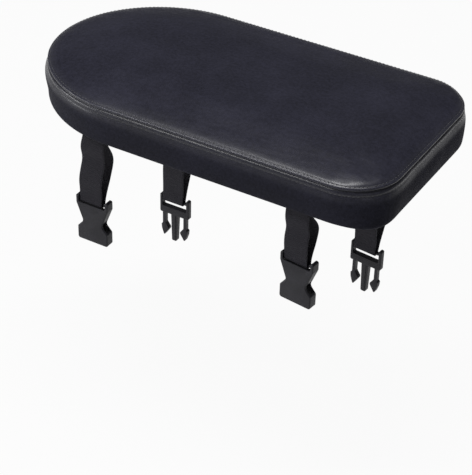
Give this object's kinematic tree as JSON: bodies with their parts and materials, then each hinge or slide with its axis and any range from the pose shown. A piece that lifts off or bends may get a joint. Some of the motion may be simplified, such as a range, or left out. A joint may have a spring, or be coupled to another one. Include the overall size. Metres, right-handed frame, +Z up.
{
  "type": "rear rack cushion seat",
  "caption": "Padded bicycle rear rack seat, rounded at one end and square at the other, with webbing loops and side-release buckle halves that strap it to the rack.",
  "frame": {"origin": "middle of the flat underside that rests on the rack, on the face of the bottom lining", "axes": "+X to the square front end, +Y to the left side with the prong halves, +Z up through the cushion; the straps hang down below the origin"},
  "size_m": [0.31, 0.17, 0.2298],
  "materials": {
    "cover": "semi-gloss imitation leather, faint grain",
    "foam": "open-cell foam",
    "board": "raw plywood",
    "lining": "non-woven cloth",
    "webbing": "woven",
    "buckle": "fine moulded grain",
    "staple": "drawn wire"
  },
  "bodies": {
    "seat": {"top_panel": "cover", "side_band": "cover", "foam_pad": "foam", "base_board": "board", "bottom_lining": "lining", "lining_staples": "staple", "strap_staples": "staple", "rear_right_strap": "webbing", "front_right_strap": "webbing", "rear_left_strap": "webbing", "front_left_strap": "webbing"},
    "rear_right_socket_buckle_body": {"rear_right_socket_buckle": "buckle"},
    "front_right_socket_buckle_body": {"front_right_socket_buckle": "buckle"},
    "rear_left_prong_buckle_body": {"rear_left_prong_buckle": "buckle"},
    "front_left_prong_buckle_body": {"front_left_prong_buckle": "buckle"}
  },
  "joints": [
    {"name": "rear_right_buckle_swing", "type": "hinge", "parent": "seat", "child": "rear_right_socket_buckle_body", "pos_m": [-0.0844, -0.07, -0.063], "axis": [1, 0, 0], "range_deg": [-65, 110]},
    {"name": "front_right_buckle_swing", "type": "hinge", "parent": "seat", "child": "front_right_socket_buckle_body", "pos_m": [0.09208, -0.07038, -0.0484], "axis": [0.9925, -0.1219, 0], "range_deg": [-65, 110]},
    {"name": "rear_left_buckle_swing", "type": "hinge", "parent": "seat", "child": "rear_left_prong_buckle_body", "pos_m": [-0.1009, 0.07, -0.1473], "axis": [-1, 0, 0], "range_deg": [-110, 110]},
    {"name": "front_left_buckle_swing", "type": "hinge", "parent": "seat", "child": "front_left_prong_buckle_body", "pos_m": [0.08025, 0.07092, -0.1284], "axis": [-0.9945, 0.1045, 0], "range_deg": [-110, 110]}
  ]
}
